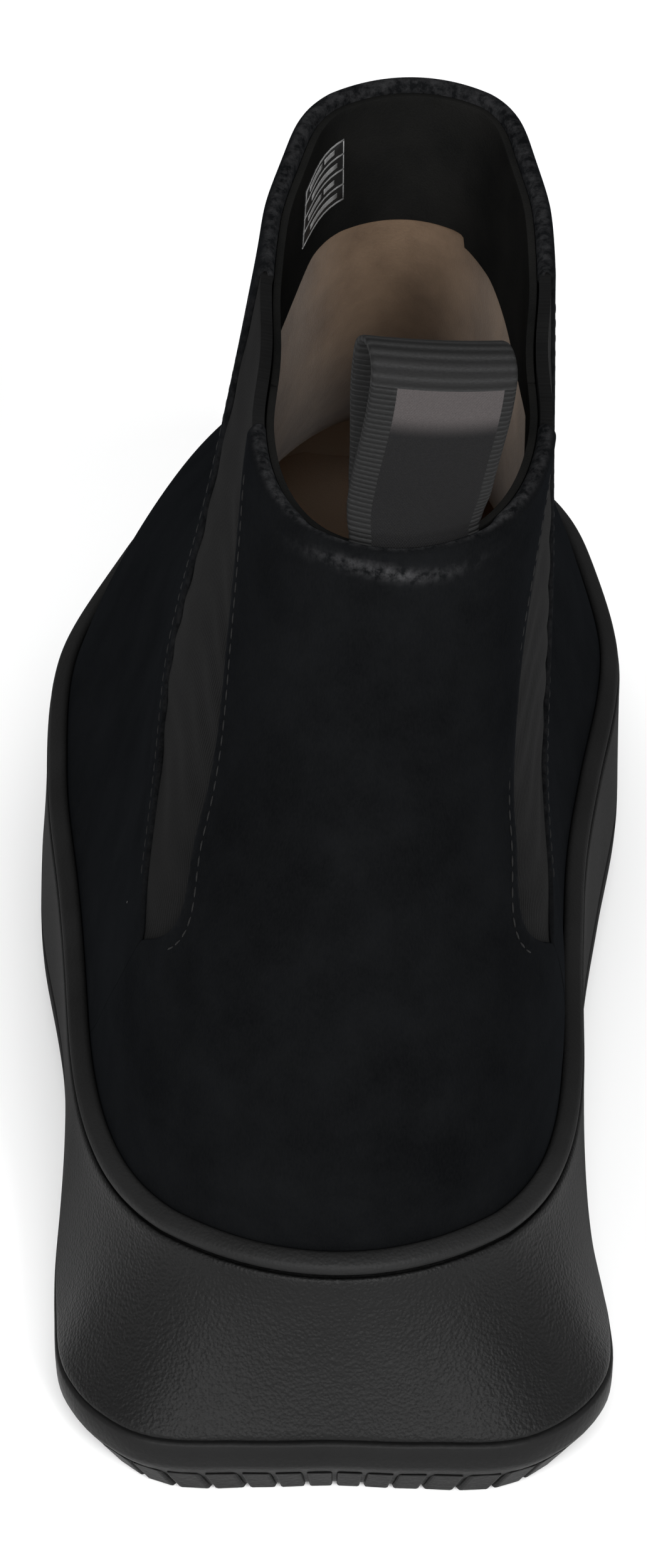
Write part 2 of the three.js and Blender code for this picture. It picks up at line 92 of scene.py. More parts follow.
LASTING_DEPTH = 4
OUTSOLE_TOP = 13.5
TREAD_DEPTH = 3.6
TREAD_PITCH = 12
TREAD_BAR = 8
TREAD_INSET = 9
TOE_SPRING = 8
SPRING_START = 185
RAND_WIDTH = 3
RAND_TOP = 1
RAND_FOOT = -1.9
LEDGE = 3.6
WALL_FOOT = (
    [-0.025, 0, 0.025, 0.052, 0.075, 0.1, 0.125, 0.15, 0.19, 0.25, 0.3, 0.35, 0.42, 0.5,
     0.58, 0.65, 0.7, 0.75, 0.8, 0.85, 0.875, 0.9, 0.925, 0.948, 0.975, 1, 1.025],
    [13.5, 11, 13.5, 19.3, 17.2, 11.6, 8, 5.5, 3.8, 5.1, 5.2, 6, 7.5, 8,
     6, 4.6, 4, 4.2, 3.8, 4.8, 7, 11.8, 17.9, 19.3, 13.5, 11, 13.5],
)

TAB_WIDTH = 20
TAB_HEIGHT = 30
TAB_GAP = 8
TAB_BOW = 2
TAB_CURL_RISE = 0.9
TAB_FORWARD = 1
TAB_TILT = math.radians(5)
TAB_LEAN = math.radians(4)
TAB_LIFT = 1.9
TAB_SIDE = 2.2
TAB_TWIST = 0.3

# ---------------------------------------------------------------- curves and surfaces


def smooth(knots, x):
    """Smooth curve through the knots, level beyond its ends. Each knot's value may be an array."""
    places, values = knots
    x = np.clip(np.asarray(x, float), places[0], places[-1])
    values = [np.broadcast_to(value, x.shape).astype(float) for value in values]
    gaps = np.diff(places)
    slopes = [(values[i + 1] - values[i]) / gap for i, gap in enumerate(gaps)]
    tangents = [np.zeros(x.shape) for _ in values]
    for i in range(1, len(gaps)):
        tangents[i] = (gaps[i - 1] * slopes[i] + gaps[i] * slopes[i - 1]) / (gaps[i - 1] + gaps[i])
    tangents[0] = 1.5 * slopes[0] - 0.5 * tangents[1]
    tangents[-1] = 1.5 * slopes[-1] - 0.5 * tangents[-2]
    result = values[0].copy()
    for i, gap in enumerate(gaps):
        s = (x - places[i]) / gap
        rise = s * s * (3 - 2 * s)
        swerve = gap * s * (1 - s) * ((1 - s) * tangents[i] - s * tangents[i + 1])
        here = values[i] * (1 - rise) + values[i + 1] * rise + swerve
        result = np.where((s >= 0) & (s <= 1), here, result)
    return result


def ease(x, start, end):
    """0 before start, 1 after end, smooth between them."""
    s = np.clip((np.asarray(x, float) - start) / (end - start), 0, 1)
    return s * s * (3 - 2 * s)


def bump_at(x, centre, width):
    return np.exp(-(((x - centre) / width) ** 2))


def station(u):
    """Place along the boot, heel 0 to toe 1, of a place round it."""
    return (1 - np.cos(2 * np.pi * u)) / 2


def upper_face(u, t):
    """Point on the upper's outer face: u goes round the boot from the heel, t goes up it."""
    u, t = np.broadcast_arrays(np.asarray(u, float), np.asarray(t, float))
    level = np.maximum(t, 0)
    a = station(u)
    root = 2 * np.sqrt(np.array(STATIONS) * (1 - np.array(STATIONS)))
    rings = [smooth((STATIONS, np.array(half) / root), a) for half in RING_HALVES]
    spread = smooth((RING_LEVELS, rings), level)
    sag = WAIST_SAG * np.sin(np.pi * a) * (1 - level) ** 3
    swing = smooth(SWING, a) * (1 - level) ** 2
    back_y, front_y = smooth(BACK_Y, level), smooth(FRONT_Y, level)
    back_z, front_z = smooth(BACK_Z, level), smooth(FRONT_Z, level)
    skew = level * (TOP_SKEW[0] + (TOP_SKEW[1] - TOP_SKEW[0]) * a)
    x = -np.sin(2 * np.pi * u) * spread + smooth(LEAN, level) + swing + skew + SIDE_SHIFT
    y = back_y + (front_y - back_y) * a - HEEL_TO_ORIGIN
    z = back_z + (front_z - back_z) * a - sag + np.minimum(t, 0) * 100
    return np.stack([x, y, z], -1)


def unit(vectors):
    return vectors / np.maximum(np.linalg.norm(vectors, axis=-1, keepdims=True), 1e-9)


def inward(u, t):
    """Direction into the wall of the upper."""
    step = 0.004
    u, t = np.broadcast_arrays(np.asarray(u, float), np.asarray(t, float))
    low = np.maximum(t, 0)
    along = upper_face(u + step, low) - upper_face(u - step, low)
    up = upper_face(u, np.minimum(low + step, 1)) - upper_face(u, np.maximum(low - step, 0))
    up = np.where((t < 0)[..., None], [0.0, 0.0, 1.0], up)
    return unit(np.cross(along, up))


def wall_point(u, t, depth):
    u, t, depth = np.broadcast_arrays(*(np.asarray(v, float) for v in (u, t, depth)))
    return upper_face(u, t) + inward(u, t) * depth[..., None]


def base_point(u, offset, rise):
    """Point beside the upper's base line, out by an offset and up by a rise."""
    u = np.asarray(u, float)
    point = wall_point(u, np.full(u.shape, -0.001), -np.asarray(offset, float))
    point[..., 2] = upper_face(u, 0)[..., 2] + rise
    return point


def sprung(y, height):
    """Height of a sole point that would be at the given height on flat ground."""
    ahead = np.maximum(0, y + HEEL_TO_ORIGIN - SPRING_START) / (2 * HEEL_TO_ORIGIN - SPRING_START)
    return height + TOE_SPRING * ahead**2 * np.maximum(0, 1 - height / 30)


def sole_point(u, share, inset=0.0):
    """Point of the sole wall: share 0 at its top edge, 1 at its foot."""
    u = np.asarray(u, float)
    foot = np.maximum(smooth(WALL_FOOT, u % 1), LEDGE)
    point = base_point(u, LEDGE + (foot - LEDGE) * share**1.5 - inset, RAND_FOOT - GAP)
    z = point[..., 2]
    point[..., 2] = sprung(point[..., 1], z + (OUTSOLE_TOP + GAP - z) * share)
    return point


# ---------------------------------------------------------------- meshes


def finish_piece(piece, nodes, body="boot"):
    """Puts a piece on its body and lets it stand for CAD nodes, whose own meshes it hides."""
    if body:
        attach(piece, body)
    if nodes:
        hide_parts(*nodes)
    return piece


def make_mesh(name, points, faces, look, uv=None, wear_and_glint=None):
    mesh = bpy.data.meshes.new(name)
    mesh.from_pydata((np.asarray(points) * MM).tolist(), [], [list(map(int, f)) for f in faces])
    mesh.polygons.foreach_set("use_smooth", [True] * len(mesh.polygons))
    if uv is not None:
        corners = np.zeros(len(mesh.loops), int)
        mesh.loops.foreach_get("vertex_index", corners)
        layer = mesh.uv_layers.new(name="Millimetres")
        layer.data.foreach_set("uv", np.asarray(uv, float)[corners].ravel())
    # Per point share of lighter suede, partly rubbed wear and partly painted highlight.
    if wear_and_glint is not None:
        layer = mesh.attributes.new("wear_and_glint", "FLOAT", "POINT")
        layer.data.foreach_set("value", np.asarray(wear_and_glint, float).ravel())
    mesh.materials.append(look)
    piece = bpy.data.objects.new(name, mesh)
    bpy.context.scene.collection.objects.link(piece)
    return piece


def grid_faces(rows, columns, wrap):
    """Faces across a grid of points, turned to face away from the inside of the boot."""
    across = columns if wrap else columns - 1
    r, c = np.meshgrid(np.arange(rows - 1), np.arange(across), indexing="ij")
    n = (c + 1) % columns
    return np.stack([r * columns + c, (r + 1) * columns + c, (r + 1) * columns + n, r * columns + n], -1)


def solidify(piece, thickness):
    shell = piece.modifiers.new("thickness", "SOLIDIFY")
    shell.thickness = thickness * MM
    shell.offset = -1
    return piece


def soften(piece, width, segments=2):
    edge = piece.modifiers.new("soft edges", "BEVEL")
    edge.width = width * MM
    edge.segments = segments
    edge.limit_method = "ANGLE"
    edge.angle_limit = math.radians(40)
    return piece


def sheet_grid(left, right, heights, edges, middle):
    """Places round the boot for a sheet: close columns near both side edges, even ones between."""
    heights = np.asarray(heights, float)
    start, end = left(heights), right(heights)
    steps = np.linspace(0, 1, 41)
    walk = upper_face(start[:, None] + (end - start)[:, None] * steps, heights[:, None])
    width = np.linalg.norm(np.diff(walk, axis=1), axis=-1).sum(1)
    near = np.asarray(edges, float)[None, :] / width[:, None]
    between = near[:, -1:] + (1 - 2 * near[:, -1:]) * np.linspace(0, 1, middle)[None, 1:-1]
    share = np.concatenate([near, between, 1 - near[:, ::-1]], 1)
    u = start[:, None] + (end - start)[:, None] * share
    side = np.minimum(share, 1 - share) * width[:, None]
    return u, side


def mm_uv(points):
    """A UV map in millimetres, measured along the rows and up the columns of a grid."""
    across = np.cumsum(np.linalg.norm(np.diff(points, axis=1, prepend=points[:, :1]), axis=-1), 1)
    up = np.cumsum(np.linalg.norm(np.diff(points, axis=0, prepend=points[:1]), axis=-1), 0)
    middle = points.shape[1] // 2
    return np.stack([across - across[:, middle:middle + 1], up], -1)


EDGE_STEPS = [0, 0.08, 0.2, 0.35, 0.55, 0.8, 1.6]
EDGE_RADIUS = 0.8                # beside the gores
SEAM_RADIUS = 0.06               # at the closed seam below them


def edge_roll(distance, radius):
    """Depth of a rounded edge at a distance from its end."""
    short = np.clip(radius - distance, 0, radius)
    return radius - np.sqrt(np.maximum(radius**2 - short**2, 0))


def creases(u, t):
    """Soft folds and hollows of worn suede, as depths into the wall."""
    lateral = 0.7 * bump_at(t - 0.34 - 0.5 * (u - 0.17), 0, 0.022) * bump_at(u, 0.22, 0.05)
    medial = 0.7 * bump_at(t - 0.33 - 0.5 * (0.83 - u), 0, 0.022) * bump_at(u, 0.79, 0.05)
    heel = 0.5 * bump_at(t, 0.47, 0.09) * (bump_at(u, 0.055, 0.03) + bump_at(u, -0.06, 0.035))
    low = 0.45 * bump_at(t - 0.2 + u, 0, 0.03) * bump_at(u, 0.03, 0.06)
    ridge = -0.35 * bump_at(u, 0, 0.006) * ease(t, 0.1, 0.2) * (1 - ease(t, 0.9, 0.97))
    waves = 0.16 * np.sin(31 * u + 9 * t) * np.sin(13 * t - 17 * u + 1)
    flex = 0.5 * bump_at(t, 0.3, 0.02) * bump_at(u, 0.5, 0.06)
    flex += 0.4 * bump_at(t, 0.19, 0.015) * bump_at(u, 0.5, 0.05)
    fading = (1 - ease(t, 0.93, 0.99)) * ease(t, 0, 0.06)
    return (lateral + medial + heel + low + ridge + waves + flex) * fading


def roll_radius(u):
    """Radius of the suede rolled over the topline. It is small where the tab comes out behind it."""
    behind_tab = 1 - ease(np.abs((u + 0.5) % 1 - 0.5), 0.066, 0.085)
    return 1.4 - 0.5 * behind_tab


def suede_panel(name, left, right, middle, look):
    """Suede sheet with rounded side edges, rolled over the topline."""
    body = np.concatenate([np.linspace(-LASTING_DEPTH / 100, 0.9, 120), np.linspace(0.9, 1, 14)[1:]])
    arc = np.radians(np.linspace(0, 180, 15)[1:])
    tail = np.array([0.5, 1])
    count = len(body)
    heights = np.concatenate([body, np.ones(len(arc) + len(tail))])
    u, side = sheet_grid(left, right, heights, EDGE_STEPS, middle)
    radius = roll_radius(u[-1])
    per_unit = np.linalg.norm(upper_face(u[-1], 1.0) - upper_face(u[-1], 0.98), axis=-1) / 0.02
    crest = 1 - radius / per_unit
    t = np.zeros(u.shape)
    depth = np.zeros(u.shape)
    rising = body[:, None]
    t[:count] = np.where(rising > 0.9, 0.9 + (rising - 0.9) * (crest - 0.9) / 0.1, rising)
    t[count:count + len(arc)] = crest + np.sin(arc)[:, None] * radius / per_unit
    depth[count:count + len(arc)] = radius * (1 - np.cos(arc))[:, None]
    t[-len(tail):] = crest - tail[:, None] * 0.8 / per_unit
    depth[-len(tail):] = 2 * radius
    rolled = depth.copy()
    depth[:count] += creases(u[:count], t[:count])
    turned = SEAM_RADIUS + (EDGE_RADIUS - SEAM_RADIUS) * ease(t, GORE_FOOT - 0.02, GORE_FOOT + 0.02)
    depth += edge_roll(side, turned) * (1 - rolled / (2 * radius))
    points = upper_face(u, np.minimum(t, 1)) + inward(u, np.minimum(t, 1)) * depth[..., None]
    # Lighter suede on the rolled topline (most at the heel) and along the gore edges is partly rubbed wear
    # and partly painted highlight; the line on the fold below the collar is painted highlight only.
    at_heel = 0.45 + 0.4 * bump_at((u + 0.5) % 1 - 0.5, 0, 0.1)
    top_wear_and_glint = 0.95 * ease(rolled, 0.1, 1.2) * at_heel
    beside_heel = (u + 0.5) % 1 - 0.5
    fold_height = 0.962 + 0.008 * np.sin(40 * beside_heel)
    painted_fold_highlight = bump_at(t, fold_height, 0.01) * bump_at(beside_heel, 0.005, 0.045) * (rolled == 0)
    side_wear_and_glint = 0.15 * (1 - ease(side, 0.3, 1.2)) * ease(t, 0.3, 0.4)
    wear_and_glint = np.maximum(np.maximum(top_wear_and_glint, side_wear_and_glint), painted_fold_highlight)
    faces = grid_faces(*u.shape, False).reshape(-1, 4)
    piece = make_mesh(name, points.reshape(-1, 3), faces, look, mm_uv(points).reshape(-1, 2), wear_and_glint)
    return solidify(piece, 0.8)


def hollow(u, t):
    """How far the elastic pulls straight across its opening, as a depth."""
    place = np.minimum(u % 1, 1 - u % 1)
    width = np.maximum(smooth(GORE_FRONT, t) - smooth(GORE_BACK, t), 0.001)
    share = (place - smooth(GORE_BACK, t)) / width
    return 0.6 * ease(t, 0.5, 1) * np.sin(np.pi * np.clip(share, 0, 1)) ** 2


def wall_sheet(name, left, right, heights, depth, thickness, look, middle=80, rounded=0.3):
    """Plain sheet inside the wall, from one depth in by its thickness."""
    u, side = sheet_grid(left, right, heights, [0, 0.1, 0.3, 0.8], middle)
    t = np.asarray(heights, float)[:, None] + np.zeros(u.shape)
    deep = depth(u, t) if callable(depth) else np.full(u.shape, float(depth))
    points = wall_point(u, t, deep + hollow(u, t))
    faces = grid_faces(*u.shape, False).reshape(-1, 4)
    piece = make_mesh(name, points.reshape(-1, 3), faces, look, mm_uv(points).reshape(-1, 2))
    solidify(piece, thickness)
    return soften(piece, min(rounded, thickness * 0.4))


def ring_grid(rows, columns=360):
    """Rows of points round the boot. Each row is a function of the place."""
    u = np.arange(columns) / columns
    return np.stack([row(u) for row in rows])


def ring_body(name, rows, look, closed_section=False, caps=True, columns=360):
    """Closed body from rings: a hoop if its section is closed, else one closed by flat ends."""
    points = ring_grid(rows, columns)
    count = len(rows)
    if closed_section:
        points = np.concatenate([points, points[:1]])
        count += 1
    faces = grid_faces(count, columns, True).reshape(-1, 4)[:, ::-1].tolist()
    flat = points.reshape(-1, 3)
    if closed_section:
        kept = (count - 1) * columns
        faces = [[corner % kept for corner in face] for face in faces]
        flat = flat[:kept]
    elif caps:
        for first, turn in ((0, 1), ((count - 1) * columns, -1)):
            centre = len(flat)
            flat = np.concatenate([flat, flat[first:first + columns].mean(0)[None]])
            for i in range(columns):
                faces.append([first + i, first + (i + 1) % columns, centre][::turn])
    return make_mesh(name, flat, faces, look)


# ---------------------------------------------------------------- materials


def node(tree, kind, inputs=None, **settings):
    """Shader node with its settings, and values or links for its inputs."""
    made = tree.nodes.new("ShaderNode" + kind)
    for key, value in settings.items():
        setattr(made, key, value)
    for key, value in (inputs or {}).items():
        if isinstance(value, bpy.types.NodeSocket):
            tree.links.new(value, made.inputs[key])
        else:
            made.inputs[key].default_value = value
    return made


def new_look(name, roughness, specular=0.5, **sockets):
    look = bpy.data.materials.new(name)
    look.use_nodes = True
    shader = look.node_tree.nodes["Principled BSDF"]
    shader.inputs["Roughness"].default_value = roughness
    shader.inputs["Specular IOR Level"].default_value = specular
    for key, value in sockets.items():
        shader.inputs[key.replace("_", " ")].default_value = value
    return look, look.node_tree, shader


def space(tree, stretch=(1, 1, 1)):
    """Place on the object in millimetres, stretched along an axis."""
    place = node(tree, "TexCoord").outputs["Object"]
    scale = [1000 * s for s in stretch]
    return node(tree, "VectorMath", {0: place, 1: scale}, operation="MULTIPLY").outputs["Vector"]


def flat_map(tree, stretch=(1, 1, 1)):
    """Place on the piece's own UV map in millimetres."""
    place = node(tree, "TexCoord").outputs["UV"]
    return node(tree, "VectorMath", {0: place, 1: stretch}, operation="MULTIPLY").outputs["Vector"]


def noise(tree, place, size, detail=3.0, rough=0.55):
    """Noise whose features are about this many millimetres."""
    inputs = {"Vector": place, "Scale": 1 / size, "Detail": detail, "Roughness": rough}
    made = node(tree, "TexNoise", inputs)
    return made.outputs["Fac"]


def cells(tree, place, size, feature="F1"):
    made = node(tree, "TexVoronoi", {"Vector": place, "Scale": 1 / size}, feature=feature)
    return made.outputs["Distance"]


def ramp(tree, value, low, high, start=0.3, end=0.7):
    """Colour from low to high as the value goes from start to end."""
    made = node(tree, "ValToRGB", {"Fac": value})
    for element, place, colour in zip(made.color_ramp.elements, (start, end), (low, high)):
        element.position = place
        element.color = (*colour, 1)
    return made.outputs["Color"]


def blend_colours(tree, share, first, second):
    made = node(tree, "Mix", data_type="RGBA")
    for key, value in ((0, share), (6, first), (7, second)):
        if isinstance(value, bpy.types.NodeSocket):
            tree.links.new(value, made.inputs[key])
        else:
            made.inputs[key].default_value = value
    return made.outputs[2]


def maths(tree, operation, first, second=0.0, third=0.0):
    return node(tree, "Math", {0: first, 1: second, 2: third}, operation=operation).outputs[0]


def raised(tree, shader, *layers):
    """Bump from (height, millimetres) layers, the coarsest first."""
    normal = None
    for height, depth in layers:
        inputs = {"Height": height, "Distance": depth * MM, "Strength": 1.0}
        if normal is not None:
            inputs["Normal"] = normal
        normal = node(tree, "Bump", inputs).outputs["Normal"]
    tree.links.new(normal, shader.inputs["Normal"])


def slope(tree, value, start_end, low_high):
    """Value carried from one range to another, and held at its ends."""
    keys = ("From Min", "From Max", "To Min", "To Max")
    inputs = dict(zip(keys, (float(number) for number in (*start_end, *low_high))))
    return node(tree, "MapRange", {"Value": value, **inputs}).outputs[0]


def grey(value, blue=0.0):
    return (value, value * (1 + blue / 2), value * (1 + blue))


def suede_look():
    look, tree, shader = new_look("black suede", 1.0, 0.0)
    shader.inputs["Sheen Weight"].default_value = 0.005
    shader.inputs["Sheen Roughness"].default_value = 0.5
    shader.inputs["Sheen Tint"].default_value = (0.75, 0.85, 1, 1)
    place = space(tree)
    nap = noise(tree, place, 14, 5, 0.62)
    colour = ramp(tree, nap, grey(0.0009, 0.3), grey(0.0031, 0.2), 0.3, 0.72)
    fibre = noise(tree, space(tree, (1, 1, 0.45)), 0.32, 3)
    colour = blend_colours(tree, maths(tree, "MULTIPLY", fibre, 0.55), colour, (0.005, 0.005, 0.0053, 1))
    # Lighter suede where the mesh marks it: partly rubbed wear, partly painted highlight on the rolled
    # topline, the gore edges and a fold.
    wear_and_glint = node(tree, "Attribute", attribute_name="wear_and_glint", attribute_type="GEOMETRY").outputs["Fac"]
    wear_and_glint_patches = ramp(tree, noise(tree, place, 1.6, 6, 0.7), (0, 0, 0), (1, 1, 1), 0.4, 0.62)
    colour = blend_colours(tree, maths(tree, "MULTIPLY", wear_and_glint, wear_and_glint_patches), colour, (0.026, 0.026, 0.027, 1))
    specks = maths(tree, "LESS_THAN", cells(tree, place, 10), 0.018)
    sparse = maths(tree, "GREATER_THAN", noise(tree, place, 11, 0), 0.52)
    lint = maths(tree, "MULTIPLY", specks, sparse)
    colour = blend_colours(tree, lint, colour, (0.2, 0.2, 0.19, 1))
    tree.links.new(colour, shader.inputs["Base Color"])
    raised(tree, shader, (nap, 0.35), (fibre, 0.16))
    return look


def elastic_look():
    look, tree, shader = new_look("grey elastic", 1.0, 0.01)
    shader.inputs["Sheen Weight"].default_value = 0.01
    shader.inputs["Sheen Roughness"].default_value = 0.5
    knit = flat_map(tree)
    ribs = node(
        tree, "TexWave", {"Vector": knit, "Scale": 0.35, "Distortion": 0.6, "Detail": 1.0},
        wave_type="BANDS", bands_direction="X",
    ).outputs["Fac"]
    threads = noise(tree, flat_map(tree, (1, 0.5, 1)), 0.28, 3)
    mottled = noise(tree, space(tree), 9, 4)
    shade = maths(tree, "MULTIPLY", threads, 0.6)
    shade = maths(tree, "ADD", shade, maths(tree, "MULTIPLY", mottled, 0.45))
    colour = ramp(tree, shade, grey(0.0024), grey(0.0058, 0.03), 0.25, 0.75)
    tree.links.new(colour, shader.inputs["Base Color"])
    raised(tree, shader, (ribs, 0.05), (threads, 0.09))
    return look


def facing_look():
    look, tree, shader = new_look("black facing", 1.0, 0.01)
    place = space(tree)
    patches = noise(tree, place, 12, 4)
    colour = ramp(tree, patches, grey(0.0026), grey(0.0062, -0.1), 0.3, 0.75)
    fibre = noise(tree, place, 0.3, 2)
    colour = blend_colours(tree, maths(tree, "MULTIPLY", fibre, 0.4), colour, (0.0095, 0.01, 0.0095, 1))
    tree.links.new(colour, shader.inputs["Base Color"])
    raised(tree, shader, (patches, 0.2), (fibre, 0.1))
    return look


def microfibre_look(name, paler):
    """Tan lining with blotches. Below the shaft it is painted paler, as painted light, only so that the deep
    inside shows in the shade.
    """
    look, tree, shader = new_look(name, 0.95, 0.08)
    shader.inputs["Sheen Weight"].default_value = 0.1
    place = space(tree)
    blotches = noise(tree, place, 11, 5, 0.6)
    tan = ramp(tree, blotches, (0.066, 0.041, 0.025), (0.135, 0.09, 0.058), 0.32, 0.68)
    fibre = noise(tree, place, 0.45, 4, 0.7)
    tan = blend_colours(tree, maths(tree, "MULTIPLY", fibre, 0.5), tan, (0.13, 0.093, 0.064, 1))
    height = node(tree, "SeparateXYZ", {0: place}).outputs["Z"]
    # Painted light: the colour turns paler towards the bottom of the shaft.
    deep = slope(tree, height, (70, 105), (paler, 0))
    tan = blend_colours(tree, deep, tan, (0.62, 0.46, 0.33, 1))
    tree.links.new(tan, shader.inputs["Base Color"])
    raised(tree, shader, (blotches, 0.3), (fibre, 0.12))
    return look


def moulded_look(name, colour, roughness, grain, depth):
    """Moulded sole foam or rubber with a fine pebbled skin.

    It gets rougher ahead of the heel only to keep the bright floor's reflection off the flanks.
    """
    look, tree, shader = new_look(name, roughness, 0.1)
    place = space(tree)
    pebbles = cells(tree, place, grain, "SMOOTH_F1")
    pores = noise(tree, place, grain * 0.45, 3)
    clouds = noise(tree, place, 22, 4)
    shade = ramp(tree, clouds, grey(colour * 0.8), grey(colour * 1.25, 0.02), 0.3, 0.7)
    tree.links.new(shade, shader.inputs["Base Color"])
    gloss = node(
        tree, "MapRange", {"Value": pores, "To Min": roughness - 0.07, "To Max": roughness + 0.1}
    ).outputs[0]
    along = node(tree, "SeparateXYZ", {0: place}).outputs["Y"]
    flank = slope(tree, along, (-112, -80), (0, 0.45))
    tree.links.new(maths(tree, "ADD", gloss, flank), shader.inputs["Roughness"])
    raised(tree, shader, (pebbles, depth), (pores, depth * 0.5))
    return look


def webbing_look():
    """Woven tab: ribs across its top and along its sides, and a smoother woven panel between them."""
    look, tree, shader = new_look("woven webbing", 0.75, 0.06)
    parts = node(tree, "SeparateXYZ", {0: flat_map(tree)}).outputs
    across = maths(tree, "ABSOLUTE", maths(tree, "SUBTRACT", parts["X"], 0.9))
    along = maths(tree, "ABSOLUTE", parts["Y"])
    inside = maths(tree, "LESS_THAN", across, 7.4)
    below = maths(tree, "GREATER_THAN", along, 7.0)
    panel = maths(tree, "MULTIPLY", inside, below)
    fine = maths(tree, "SINE", maths(tree, "MULTIPLY", parts["Y"], 2 * math.pi / 0.85))
    broad = maths(tree, "SINE", maths(tree, "MULTIPLY", parts["Y"], 2 * math.pi / 1.45))
    at_top = maths(tree, "LESS_THAN", along, 7.0)
    ribs = blend_colours(tree, at_top, fine, broad)
    rib_height = maths(tree, "MULTIPLY_ADD", ribs, 0.5, 0.5)
    weave_x = maths(tree, "SINE", maths(tree, "MULTIPLY", parts["X"], 2 * math.pi / 0.42))
    weave_y = maths(tree, "SINE", maths(tree, "MULTIPLY", parts["Y"], 2 * math.pi / 0.55))
    weave = maths(tree, "MULTIPLY", weave_x, weave_y)
    weave = maths(tree, "MULTIPLY_ADD", weave, 0.12, 0.3)
    height = blend_colours(tree, panel, rib_height, weave)
    yarn = noise(tree, flat_map(tree, (1, 2.2, 1)), 0.5, 4, 0.7)
    side = ramp(tree, yarn, grey(0.008), grey(0.019, 0.02), 0.25, 0.75)
    band = node(
        tree, "MapRange", {"Value": along, "From Min": 11.0, "From Max": 15.0, "To Min": 1.0, "To Max": 0.0},
        interpolation_type="SMOOTHSTEP",
    ).outputs[0]
    satin = blend_colours(tree, band, (0.0035, 0.0035, 0.0038, 1), (0.045, 0.04, 0.04, 1))
    satin = blend_colours(tree, maths(tree, "MULTIPLY", yarn, 0.5), satin, (0.0105, 0.0103, 0.0103, 1))
    # Painted shade in the grooves between the ribs on the sides of the tab.
    rib_groove_shade = maths(tree, "MULTIPLY", maths(tree, "SUBTRACT", 1.0, rib_height), 0.75)
    side = blend_colours(tree, rib_groove_shade, side, (0.005, 0.005, 0.005, 1))
    colour = blend_colours(tree, panel, side, satin)
    tree.links.new(colour, shader.inputs["Base Color"])
    raised(tree, shader, (height, 0.28), (yarn, 0.08))
    return look


def fibre_look(name, low, high, size, roughness=0.9, metal=0.0):
    """Plain noisy finish for the pieces inside."""
    look, tree, shader = new_look(name, roughness, 0.3, Metallic=metal)
    place = space(tree)
    grain = noise(tree, place, size, 5, 0.6)
    tree.links.new(ramp(tree, grain, low, high), shader.inputs["Base Color"])
    raised(tree, shader, (grain, size * 0.1))
    return look


def thread_look():
    look, tree, shader = new_look("black thread", 0.7, 0.15)
    twist = noise(tree, space(tree), 0.25, 2)
    tree.links.new(ramp(tree, twist, grey(0.0012), grey(0.0035)), shader.inputs["Base Color"])
    raised(tree, shader, (twist, 0.06))
    return look


def print_look(name, value):
    look, tree, shader = new_look(name, 0.6, 0.3)
    speckle = noise(tree, space(tree), 0.6, 3)
    tree.links.new(ramp(tree, speckle, grey(value * 0.7), grey(value)), shader.inputs["Base Color"])
    return look


SUEDE_BLACK = suede_look()
ELASTIC = elastic_look()
FACING = facing_look()
TAN = microfibre_look("tan microfibre", 0.8)
SOLE = moulded_look("sole skin", 0.0035, 0.45, 0.5, 0.15)
# The rand is the same skin as the sole, given a lighter colour as painted light on its upturned face.
RAND = moulded_look("rand skin", 0.006, 0.55, 0.5, 0.08)
RUBBER = moulded_look("outsole rubber", 0.004, 0.55, 0.8, 0.06)
WEBBING = webbing_look()
THREAD = thread_look()
LABEL_FILM = print_look("label film", 0.008)
LABEL_INK = print_look("label ink", 0.2)
STIFFENER = fibre_look("stiffener board", (0.38, 0.34, 0.27), (0.5, 0.46, 0.38), 1.2)
BOARD = fibre_look("insole fibreboard", (0.25, 0.17, 0.09), (0.4, 0.28, 0.16), 0.9)
CORK = fibre_look("cork filler", (0.13, 0.07, 0.03), (0.42, 0.26, 0.13), 2.2)
FOAM = fibre_look("cushion foam", (0.55, 0.5, 0.42), (0.7, 0.65, 0.57), 0.7)
STEEL = fibre_look("shank steel", (0.42, 0.42, 0.43), (0.58, 0.58, 0.6), 3, 0.32, 1.0)

# ---------------------------------------------------------------- upper


def vamp_edge(t):
    return np.where(t < GORE_FOOT, smooth(SIDE_SEAM, t), smooth(GORE_FRONT, t)) + SEAM_GAP


def quarter_edge(t):
    return np.where(t < GORE_FOOT, smooth(SIDE_SEAM, t), smooth(GORE_BACK, t)) - SEAM_GAP


def add_suede():
    vamp = suede_panel("vamp_suede", vamp_edge, lambda t: 1 - vamp_edge(t), 230, SUEDE_BLACK)
    finish_piece(vamp, ["vamp"])
    quarter = suede_panel("heel_quarter_suede", lambda t: -quarter_edge(t), quarter_edge, 150, SUEDE_BLACK)
    finish_piece(quarter, ["heel_quarter"])


def add_gores():
    heights = np.linspace(GORE_FOOT - 0.02, GORE_TOP + 0.01, 70)
    under = 0.02

    def back(t):
        return smooth(GORE_BACK, t) - under

    def front(t):
        return smooth(GORE_FRONT, t) + under

    def stretched(u, t):
        gather = np.sin(t * 95 + 2 * np.sin(u * 60))
        return GORE_DEPTH + 0.12 * gather * (1 - ease(t, 0.9, 0.97))

    sides = (
        ("lateral_gore_knit", back, front, "lateral_gore"),
        ("medial_gore_knit", lambda t: 1 - front(t), lambda t: 1 - back(t), "medial_gore"),
    )
    for name, left, right, cad_node in sides:
        piece = wall_sheet(name, left, right, heights, stretched, 1.8, ELASTIC, 60, 0.5)
        finish_piece(piece, [cad_node])


def facing_foot(u):
    """Height of the facing's lower edge, with a small step on the inner side."""
    front = 1 - ease(np.abs(u - 0.51), 0.12, 0.21)
    step = 0.01 * ease(u, 0.583, 0.587) * (1 - ease(u, 0.6, 0.68))
    return 0.822 + 0.044 * front - step


def rumpled(u, t):
    """Depth of the lining, with soft unevenness."""
    return LINING_DEPTH - 0.5 + 0.12 * np.sin(23 * u + 11 * t) * np.sin(9 * t)


